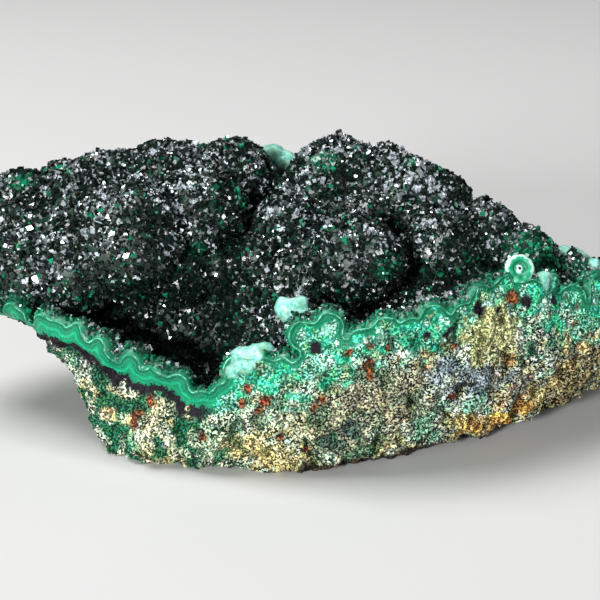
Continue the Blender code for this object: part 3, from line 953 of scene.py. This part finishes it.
# The broken edge: a pale outline, then bands of green that run parallel to the free side
BAND_REACH = 4.0  # how far below the rim the last of these lies
BANDS = (
    (0.0, (160, 226, 198)),
    (0.05, (96, 200, 162)),
    (0.08, (0, 118, 82)),
    (0.18, (0, 88, 62)),
    (0.25, (0, 132, 92)),
    (0.36, (0, 118, 82)),
    (0.45, (4, 150, 106)),
    (0.52, (18, 168, 122)),
    (0.58, (0, 128, 88)),
    (0.75, (0, 144, 100)),
    (1.0, (0, 96, 68)),
)
LINE_TURNS = 19.0  # of the fine lines between the bands, in radians a millimetre
LINE_SHADE = 0.08
FIBRE_WIDTH = 0.16  # of the fibres that run across the bands

tree = banded_malachite.node_tree
wavering = spread(tree, speckle(tree, 1.5, detail=3.0), 0.0, 0.3)
band_depth = worked(tree, "ADD", stored(tree, "rim")["Fac"], wavering)
bands = ramped(tree, worked(tree, "DIVIDE", band_depth, BAND_REACH), BANDS)
fibres = speckle(tree, FIBRE_WIDTH, vector=stored(tree, "root")["Vector"])
lines = worked(tree, "SINE", worked(tree, "MULTIPLY", band_depth, LINE_TURNS))
lines = worked(tree, "MULTIPLY", lines, LINE_SHADE)
banded = shaded(tree, bands, worked(tree, "ADD", spread(tree, fibres, 0.6, 1.3), lines))
crumbs = add(tree, "Group", node_tree=crumbled_rock).outputs
ragged = spread(tree, speckle(tree, 0.7, detail=3.0), -0.6, 0.6)
crumbled = fitted(tree, worked(tree, "ADD", stored(tree, "past_band")["Fac"], ragged), -0.1, 0.15)
edge_colour = blended(tree, crumbled, banded, crumbs["Color"])
skin = add(tree, "Group", node_tree=bare_skin).outputs["Color"]
edge_colour = blended(tree, stored(tree, "bare")["Fac"], edge_colour, skin)
roughness = worked(tree, "ADD", worked(tree, "MULTIPLY", crumbled, 0.4), 0.42)
relief = worked(tree, "ADD", worked(tree, "MULTIPLY", fibres, 0.4), crumbs["Relief"])
finished(banded_malachite, edge_colour, roughness, relief, relief_height=0.3, Specular_IOR_Level=0.25)

# The bed of the druse: near-black green between the crystals, greener at the rim, pale on a bare bubble
tree = druse_bed.node_tree
mottle = speckle(tree, 2.2, detail=4.0)
bed = blended(tree, fitted(tree, mottle, 0.35, 0.65), paint(10, 22, 19), paint(14, 58, 42))
rim_depth = worked(tree, "ADD", stored(tree, "rim")["Fac"], speckle(tree, 1.0))
bed = blended(tree, fitted(tree, rim_depth, 0.9, 2.6, 1.0, 0.0), bed, paint(12, 112, 80))
skin = add(tree, "Group", node_tree=bare_skin).outputs["Color"]
bed = blended(tree, stored(tree, "bare")["Fac"], bed, skin)
finished(druse_bed, bed, spread(tree, mottle, 0.3, 0.55), speckle(tree, 0.35), relief_height=0.08)

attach(crust, "root")
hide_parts("malachite_crust")

# --- The stub of a small stalactite -------------------------------------------------------------
# A slender tube of the same malachite, broken short where it grew out of the crust's front edge.
# Its end shows rings: a pale rim, green inside, and a white and black core.

STUB = (42.5, -14.2, 37.6)  # the middle of its broken end
STUB_FACES = (0, -0.88, 0.47)  # the way that end faces
STUB_RADIUS = 2.0  # to the middle of its rim
STUB_RIM = 0.82  # half the rim's thickness
STUB_CORE = 0.62
# The balls behind its end, by which it grows out of the crust: x, y and z from the end, and radius
STUB_ROOT = (
    ((0, 1.3, -0.9), 2.2),
    ((0.2, 1.9, -2.4), 2.5),
    ((-0.2, 2.2, -4.2), 2.8),
)
STUB_GRAIN = 0.16  # how finely it is meshed
STUB_SWELL = 0.22
STUB_GREENER = 0.7  # how far its green reaches out behind the rim
STUB_THINNER = 0.5  # how much narrower its pale rim is at the foot than at the top
RINGS_REACH = 3.0  # how far from its axis the last of its rings lies
RINGS = (
    (0.0, (14, 18, 18)),
    (0.06, (24, 40, 36)),
    (0.10, (222, 236, 230)),
    (0.19, (186, 224, 210)),
    (0.25, (20, 146, 106)),
    (0.42, (0, 104, 74)),
    (0.56, (0, 134, 94)),
    (0.7, (20, 160, 118)),
    (0.79, (196, 236, 216)),
    (1.0, (168, 224, 200)),
)

builder = bmesh.new()
bmesh.ops.create_circle(builder, segments=18, radius=STUB_RIM)
bmesh.ops.rotate(builder, verts=builder.verts, matrix=Matrix.Rotation(math.pi / 2, 3, "X"))
bmesh.ops.translate(builder, verts=builder.verts, vec=(STUB_RADIUS, 0, 0))
bmesh.ops.spin(
    builder, geom=builder.verts[:] + builder.edges[:], steps=56, angle=2 * math.pi,
    axis=(0, 0, 1), cent=(0, 0, 0), use_merge=True,
)
turn = Vector(STUB_FACES).to_track_quat("Z", "X").to_matrix()
for behind, radius in STUB_ROOT:
    place = Matrix.Translation(turn.transposed() @ Vector(behind))
    bmesh.ops.create_icosphere(builder, subdivisions=3, radius=radius, matrix=place)
bmesh.ops.create_icosphere(builder, subdivisions=3, radius=STUB_CORE)
bmesh.ops.recalc_face_normals(builder, faces=builder.faces)
bmesh.ops.scale(builder, verts=builder.verts, vec=Vector((MM, MM, MM)))
stub = fused(object_of(builder, "stalactite_stub"), STUB_GRAIN)
along = numbers(stub.data.vertices, "co", 3) / MM
from_axis = np.hypot(along[:, 0], along[:, 1]) - STUB_GREENER * eased(-0.3, -1.3, along[:, 2])
swell = np.array([noise.noise(vertex.co / MM) for vertex in stub.data.vertices])
moved(stub.data, STUB_SWELL * swell[:, None] * numbers(stub.data.vertices, "normal", 3))
stub.data.transform(Matrix.Translation(point(*STUB)) @ turn.to_4x4())
below = (STUB[2] - numbers(stub.data.vertices, "co", 3)[:, 2] / MM) / STUB_RADIUS
store(stub.data, "from_axis", "FLOAT", from_axis - STUB_THINNER * np.clip(below, 0, 1.2))
keep_in_box(stub.data)
stub.data.shade_smooth()

ringed_malachite = finish_named("ringed_malachite")
coat(stub.data, ringed_malachite)
tree = ringed_malachite.node_tree
ragged = worked(tree, "ADD", stored(tree, "from_axis")["Fac"], spread(tree, speckle(tree, 0.9), -0.2, 0.2))
rings = ramped(tree, worked(tree, "DIVIDE", ragged, RINGS_REACH), RINGS)
roughness = spread(tree, speckle(tree, 0.5), 0.35, 0.6)
finished(ringed_malachite, rings, roughness, speckle(tree, 0.4), relief_height=0.08)
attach(stub, "root")

# --- The druse ----------------------------------------------------------------------------------
# Tens of thousands of small dark green crystals that stand on the crust's free side at all angles.
# Their flat faces catch the light like mirrors, and some faces also carry a painted glint of pale
# blue-white, fewer of them in the hollows as painted shade; towards the rim they are smaller and greener.

CRYSTALS = 42000  # less those that would stand on a bare bubble or at the very rim
CRYSTAL_SIZES = (0.74, 0.36, 0.42, 1.9)  # usual, how far they spread, smallest, largest
CRYSTAL_RADIUS = 0.56  # of a crystal of size 1
SUNK = 0.22  # how much of a crystal is buried in the bed
LARGE_FROM, LARGE_SUNK = 1.0, 0.5  # one larger than the first is sunk by this share of the excess too
USUAL_LEAN, MOST_LEAN = 0.42, 1.15  # in radians
RIM_WIDTH = 4.6  # over this width from the rim they change to the size and colour of the rest
RIM_RAGGED = 0.16  # and how unevenly
RIM_SIZE = 0.55  # how large they are at the rim, as a share
CLEAR_RIM = 0.45  # none stands nearer the rim than this
MOST_BARE = 0.35  # nor where a bubble is barer than this

BLACK_GREEN = (12, 24, 19)
LEAF_GREEN = (20, 130, 92)
BLACK_LIGHT, LEAF_LIGHT = (0.4, 1.5), (0.3, 1.5)  # the least and most light of each
# Places where more of them are green: x, y, z, radius
GREEN_SPOTS = (
    (41, -6, 36, 6.5), (46, 0, 37, 5.5), (52, -1, 35, 6.5), (58, -2, 33, 6.5),
    (17.4, -14.2, 38.4, 3.4), (5.1, 12.8, 52, 3.0), (-12.2, 6.9, 46.3, 2.6), (-21.1, -1.4, 37.2, 2.2),
    (-57, 8, 49.1, 3.0), (-49.3, 11.9, 51.2, 2.2), (28.9, 13.7, 50.7, 2.4), (22.7, 14, 51.7, 2.2),
)
GREEN_SPREAD = (0.15, 1.25)  # how unlike each other the green ones are
STRAY_GREEN, STRAY_SHARE = 0.62, 0.05  # everywhere, this share of them is greener by this much

PAINTED_GLINT_SHARE = 0.75  # of a crystal's faces, the most that take a painted glint and shine partly like metal
SPARKLE_SHARE = 0.03  # and the least
GLINT_PATCH = 9.0  # the size of the patches with more painted glints
GLINT_CLUSTER = 1.5  # painted glints gather in clusters about this size
CLUSTER_LEVEL = (0.08, 0.2)  # the noise level at which such a cluster begins to take painted glints
LONE_SHINE = 0.15  # how many painted glints the crystals outside them still take
# The pale blue-white of a painted glint
PAINTED_GLINT_BLUE = (232, 243, 250)
SHINE_SPREAD = (0.25, 1.1)  # how bright a face's painted glint is
GREEN_DULLS = 0.75  # how much of that a green crystal loses
METAL = 0.5  # how far a shining face is like metal
# Hollows given painted shade, where few faces take a painted glint: x, y, z, radius
PAINTED_SHADE_HOLLOWS = (
    (-20, -4, 18, 14),
    (-14, -14, 20, 9),
)
SKY_WAYS = [Vector(way).normalized() for way in (
    (0, 0, 1), (0, -0.45, 1), (0, 0.6, 1), (-0.6, 0, 1), (0.6, 0, 1),
    (-0.9, -0.6, 0.8), (0.9, -0.6, 0.8), (0, 1, 0.7),
)]
SKY_REACH = 40  # how near a neighbour has to be to hide the sky
SKY_CLEARANCE = 1.2  # how far over the bed the sky is looked for

chance = np.random.default_rng(11)


def crystal(sides, taper, height, skew, flatten):
    """A prism of flat faces about 1 across, standing on z, with its top drawn in, skewed and sloped."""
    builder = bmesh.new()
    bmesh.ops.create_cone(
        builder, cap_ends=True, segments=sides, depth=height,
        radius1=CRYSTAL_RADIUS, radius2=CRYSTAL_RADIUS * taper,
    )
    for vertex in builder.verts:
        if vertex.co.z > 0:
            vertex.co.z += skew * vertex.co.x
            vertex.co.x += skew * 0.4
        vertex.co.y *= flatten
        vertex.co.z += height * (0.5 - SUNK)
    bmesh.ops.recalc_face_normals(builder, faces=builder.faces)
    return shape_of(builder)


# Sides, taper, height, skew and flatness
CRYSTAL_SHAPES = (
    crystal(4, 0.9, 0.8, 0.12, 0.9),
    crystal(4, 0.75, 1.15, 0.2, 0.62),
    crystal(5, 0.85, 0.7, 0.3, 0.85),
    crystal(4, 0.95, 0.65, 0.08, 0.6),
    crystal(3, 0.85, 0.9, 0.4, 1.0),
)


def spots_on(mesh, chosen, count):
    """Places spread by area over the chosen faces of a mesh, and which way each one faces."""
    mesh.calc_loop_triangles()
    corners = numbers(mesh.loop_triangles, "vertices", 3, np.int32)
    kept = chosen[numbers(mesh.loop_triangles, "polygon_index", kind=np.int32)]
    corners = numbers(mesh.vertices, "co", 3).astype(float)[corners[kept]]
    facing = np.cross(corners[:, 1] - corners[:, 0], corners[:, 2] - corners[:, 0])
    areas = np.linalg.norm(facing, axis=1)
    picks = chance.choice(len(corners), count, p=areas / areas.sum())
    first, second = np.sqrt(chance.random(count)), chance.random(count)
    weights = np.stack([1 - first, first * (1 - second), first * second], axis=1)
    places = np.einsum("nc,ncx->nx", weights, corners[picks])
    return places, facing[picks] / areas[picks, None]


def assorted(count, usual, spread_by, least, most):
    """Sizes at random about the usual one, within limits."""
    return np.clip(usual * np.exp(chance.normal(0.0, spread_by, count)), least, most)


def stood_up(axes):
    """Turns that stand a shape's z along each axis, and spin it at random about that axis."""
    helper = np.where(np.abs(axes[:, 2:]) < 0.9, [[0.0, 0.0, 1.0]], [[1.0, 0.0, 0.0]])
    across = np.cross(helper, axes)
    across /= np.linalg.norm(across, axis=1)[:, None]
    along = np.cross(axes, across)
    spins = chance.uniform(0, 2 * math.pi, len(axes))
    cosine, sine = np.cos(spins)[:, None], np.sin(spins)[:, None]
    return np.stack([across * cosine + along * sine, along * cosine - across * sine, axes], axis=2)


def leaning(facing, usual, most):
    """Each direction leant over at random, by a usual angle and never by more than the most."""
    loose = chance.normal(size=facing.shape)
    loose -= (loose * facing).sum(axis=1)[:, None] * facing
    loose /= np.linalg.norm(loose, axis=1)[:, None]
    angle = np.abs(chance.normal(0.0, usual, (len(facing), 1))).clip(0.0, most)
    return facing * np.cos(angle) + loose * np.sin(angle)


def skyward(place, way):
    """How much of the sky a place on the druse sees past its neighbours, from 0 to 1; where it sees little,
    fewer faces take a painted glint, as painted shade.
    """
    start = place + way * SKY_CLEARANCE * MM
    seen = [free_side.ray_cast(start, sky_way, SKY_REACH * MM)[0] is None for sky_way in SKY_WAYS]
    return sum(seen) / len(seen)


def flat_faced(name, mesh, material):
    """A piece of many small flat faces."""
    keep_in_box(mesh)
    mesh.shade_flat()
    coat(mesh, material)
    return placed(name, mesh)


places, facing = spots_on(crust.data, faces_under(crust.data, druse_bed), CRYSTALS)
rim_near = from_rim(places)
kept = (bareness(places) < MOST_BARE) & (rim_near > CLEAR_RIM)
places, facing, rim_near = places[kept], facing[kept], rim_near[kept]
count = len(places)
stands = zip(places.tolist(), facing.tolist())
sky = np.array([skyward(Vector(place), Vector(way)) for place, way in stands])
patches = 0.5 + waves(places, GLINT_PATCH)
clusters = waves(places, GLINT_CLUSTER)

inland = eased(0.0, 1.0, rim_near / RIM_WIDTH + chance.normal(0.0, RIM_RAGGED, count))
sizes = assorted(count, *CRYSTAL_SIZES) * (RIM_SIZE + (1 - RIM_SIZE) * inland)
places = places - facing * (LARGE_SUNK * np.clip(sizes - LARGE_FROM, 0, None) * MM)[:, None]
turns = stood_up(leaning(facing, USUAL_LEAN, MOST_LEAN)) * (sizes * MM)[:, None, None]

green = 1 - inland
for *spot, radius in GREEN_SPOTS:
    green = np.maximum(green, eased(0.0, 1.0, 1.3 - distances(places, *spot) / radius))
green = green * chance.uniform(*GREEN_SPREAD, count) + STRAY_GREEN * (chance.random(count) < STRAY_SHARE)
green = np.clip(green, 0, 1)[:, None]
black = painted([BLACK_GREEN]) * chance.uniform(*BLACK_LIGHT, (count, 1))
leaf = painted([LEAF_GREEN]) * chance.uniform(*LEAF_LIGHT, (count, 1))
tones = black * (1 - green) + leaf * green

clustered = LONE_SHINE + (1 - LONE_SHINE) * eased(*CLUSTER_LEVEL, clusters)
# Fewer painted glints where a crystal sees little sky and in the listed hollows: painted shade
painted_glint_share = PAINTED_GLINT_SHARE * sky ** 1.5 * np.clip(patches * 1.5, 0.15, 1.4) * clustered
for *spot, radius in PAINTED_SHADE_HOLLOWS:
    painted_glint_share *= eased(0.7, 1.2, distances(places, *spot) / radius)
painted_glint_share = np.maximum(painted_glint_share, SPARKLE_SHARE)
painted_glint_blue = painted([PAINTED_GLINT_BLUE])
kinds = chance.integers(0, len(CRYSTAL_SHAPES), count)

# The druse's four pieces: name, and the x between which each one lies
DRUSE_PIECES = (
    ("druse_left_end", -90, -41),
    ("druse_left_lobe", -41, -14),
    ("druse_middle", -14, 18),
    ("druse_right", 18, 90),
)
druse_crystal = finish_named("druse_crystal")
for name, left, right in DRUSE_PIECES:
    here = (places[:, 0] >= left * MM) & (places[:, 0] < right * MM)
    batches, colours, glints = [], [], []
    for kind, shape in enumerate(CRYSTAL_SHAPES):
        mine = here & (kinds == kind)
        batches.append(copies_of(shape, turns[mine], places[mine]))
        facets = shape[2]
        # The faces picked here are painted pale blue-white, a painted glint, and are also partly metal in
        # the shader
        faces = chance.random((mine.sum(), facets.max() + 1)) < painted_glint_share[mine][:, None]
        shine = faces * chance.uniform(*SHINE_SPREAD, faces.shape)
        shine = shine[:, facets] * (1 - GREEN_DULLS * green[mine])
        glint = painted_glint_blue * shine[:, :, None] ** 1.7
        colour = tones[mine][:, None, :] * (1 - shine[:, :, None]) + glint
        colours.append(np.repeat(colour.reshape(-1, 3), 3, axis=0))
        glints.append(np.repeat(shine.ravel(), 3))
    mesh = joined(name, batches)
    store(mesh, "colour", "FLOAT_COLOR", np.concatenate(colours), "CORNER")
    store(mesh, "glint", "FLOAT", np.concatenate(glints), "CORNER")
    piece = flat_faced(name, mesh, druse_crystal)
    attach(piece, "root")

# A face with a painted glint is etched, and half like metal
tree = druse_crystal.node_tree
glint = stored(tree, "glint")["Fac"]
etched = fitted(tree, speckle(tree, 0.28, detail=3.0), 0.36, 0.56, 0.3, 1.2)
etching = worked(tree, "MULTIPLY", glint, worked(tree, "SUBTRACT", etched, 1.0))
colour = shaded(tree, stored(tree, "colour")["Color"], worked(tree, "ADD", etching, 1.0))
roughness = spread(tree, speckle(tree, 0.7), 0.12, 0.3)
shader = finished(druse_crystal, colour, roughness, speckle(tree, 0.3), relief_height=0.02, IOR=1.5)
tree.links.new(worked(tree, "MULTIPLY", glint, METAL), shader.inputs["Metallic"])

# --- The rock's grains --------------------------------------------------------------------------
# The loose grains and crumbs that stud the broken rock, most of them pale, some dark, a few green
# or rusty. They sit half sunk in the rock they crumble from.

GRAINS = 21000
EDGE_GRAINS = 3500  # on the crumbs at the foot of the crust's broken edge
GRAIN_SIZES = (0.52, 0.34, 0.3, 1.3)  # usual, how far they spread, smallest, largest
GRAIN_STRETCH = (0.6, 1.4)
GRAIN_FOOT = (0.05, -0.04, -0.6)  # the lower tip of a grain of size 1, set askew
GRAIN_LEANS = (0.9, 1.5)  # usual and most, in radians
PALE_GRAINS = 0.58  # the share that is pale
# Where a pale grain's tone and a dark one's lie, from the dark gaps' colour at 0 to the pale one at 1
PALE_TONES, DARK_TONES = (1.0, 1.5), (-0.1, 0.05)
GRAIN_TINTS = (0.8, 1.15)  # the least and most of each of red, green and blue
SEAT_MARGIN = 0.1  # none lies nearer the rock's seat than this
GROUND_MARGIN = 0.4  # nor nearer the ground
BAND_MARGIN = 0.2  # nor nearer the clean band

builder = bmesh.new()
bmesh.ops.create_cone(builder, cap_ends=False, segments=4, radius1=0.5, radius2=0.0, depth=0.5)
open_edges = [edge for edge in builder.edges if edge.is_boundary]
foot = builder.verts.new(GRAIN_FOOT)
for edge in open_edges:
    builder.faces.new((*edge.verts, foot))
bmesh.ops.recalc_face_normals(builder, faces=builder.faces)
grain = shape_of(builder)

depths = np.array([free_side.find_nearest(face.center)[3] / MM for face in rock.data.polygons])
heights = numbers(rock.data.polygons, "center", 3)[:, 2]
rock_faces = (depths > CRUST - SEAT_MARGIN) & (heights > GROUND_MARGIN * MM)
loop_starts = numbers(crust.data.polygons, "loop_start", kind=np.int32)
first_points = numbers(crust.data.loops, "vertex_index", kind=np.int32)[loop_starts]
edge_faces = ~faces_under(crust.data, druse_bed) & (past_band[first_points] > BAND_MARGIN)
studded = [spots_on(rock.data, rock_faces, GRAINS), spots_on(crust.data, edge_faces, EDGE_GRAINS)]
places, facing = (np.concatenate(found) for found in zip(*studded))
count = len(places)
sizes = assorted(count, *GRAIN_SIZES)
stretch = chance.uniform(*GRAIN_STRETCH, (count, 3))
turns = stood_up(leaning(facing, *GRAIN_LEANS)) * (sizes[:, None] * stretch * MM)[:, None, :]
tones = rock_tones(places)
is_pale = chance.random(count) < PALE_GRAINS
pale_share = np.where(is_pale, chance.uniform(*PALE_TONES, count), chance.uniform(*DARK_TONES, count))
colours = tones[:, 1] + (tones[:, 0] - tones[:, 1]) * pale_share[:, None]
colours = np.clip(colours * chance.uniform(*GRAIN_TINTS, (count, 3)), 0, 1)
mesh = joined("rock_grains", [copies_of(grain, turns, places)])
store(mesh, "colour", "FLOAT_COLOR", np.repeat(colours, len(grain[0]), axis=0))
rock_grain = finish_named("rock_grain")
grains = flat_faced("rock_grains", mesh, rock_grain)
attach(grains, "root")

tree = rock_grain.node_tree
dusty = shaded(tree, stored(tree, "colour")["Color"], spread(tree, speckle(tree, 0.4), 0.82, 1.1))
roughness = spread(tree, speckle(tree, 0.8), 0.55, 0.85)
finished(rock_grain, dusty, roughness, speckle(tree, 0.25), relief_height=0.05)

# --- The stage ----------------------------------------------------------------------------------
# A plain pale floor that runs out of sight, and soft studio lamps, one of them small and bright.
# The camera looks down on the piece at 20 degrees from straight in front, through a long lens.

floor_paint = finish_named("floor_paint")
finished(floor_paint, paint(192, 192, 191), 0.9, Specular_IOR_Level=0.1)
builder = bmesh.new()
bmesh.ops.create_grid(builder, x_segments=2, y_segments=2, size=3.0)
floor = object_of(builder, "floor")
coat(floor.data, floor_paint)

PIECE_MIDDLE = (0, 0, 0.03)
BACKDROP = (0.42, 0.7, 0.0)
# Flat lamps: name, place, what it faces, width, height, all in metres, and power in watts
LAMPS = (
    ("left_softbox", (-0.42, 0.13, 1.0), PIECE_MIDDLE, 0.6, 0.55, 14.2),
    ("front_key", (-0.6, -1.14, 0.36), PIECE_MIDDLE, 0.22, 0.22, 25.0),
    ("right_strip", (0.9, -0.35, 0.5), PIECE_MIDDLE, 0.1, 0.5, 1.4),
    ("backdrop_fill", (0.5, 0.8, 0.9), BACKDROP, 0.6, 0.6, 1.6),
)
# The faint light from all round
AIR_LIGHT = (0.9, 0.93, 1.0, 1.0)
AIR_STRENGTH = 0.07


def aimed(holder, place, facing):
    """Stands a lamp or a camera at a place, looking a way."""
    holder.location = place
    holder.rotation_mode = "QUATERNION"
    holder.rotation_quaternion = facing.to_track_quat("-Z", "Y")


for name, place, aim, width, height, power in LAMPS:
    light = bpy.data.lights.new(name, "AREA")
    light.shape = "RECTANGLE"
    light.size = width
    light.size_y = height
    light.energy = power
    aimed(placed(name, light), place, Vector(aim) - Vector(place))

world = bpy.data.worlds.new("studio")
world.use_nodes = True
air = world.node_tree.nodes["Background"].inputs
air["Color"].default_value = AIR_LIGHT
air["Strength"].default_value = AIR_STRENGTH
bpy.context.scene.world = world
# Under this view the greens and the blacks come out as deep as they are painted
bpy.context.scene.view_settings.view_transform = "Standard"

CAMERA_DISTANCE = 340
CAMERA_RISE = math.radians(20)
LOOKED_AT = (0, 0, 26)
camera = placed("camera", bpy.data.cameras.new("camera"))
camera.data.lens = 100
camera.data.sensor_width = 36
camera.data.clip_start = 0.01
away = Vector((0, -math.cos(CAMERA_RISE), math.sin(CAMERA_RISE)))
aimed(camera, point(*(Vector(LOOKED_AT) + away * CAMERA_DISTANCE)), -away)
bpy.context.scene.camera = camera
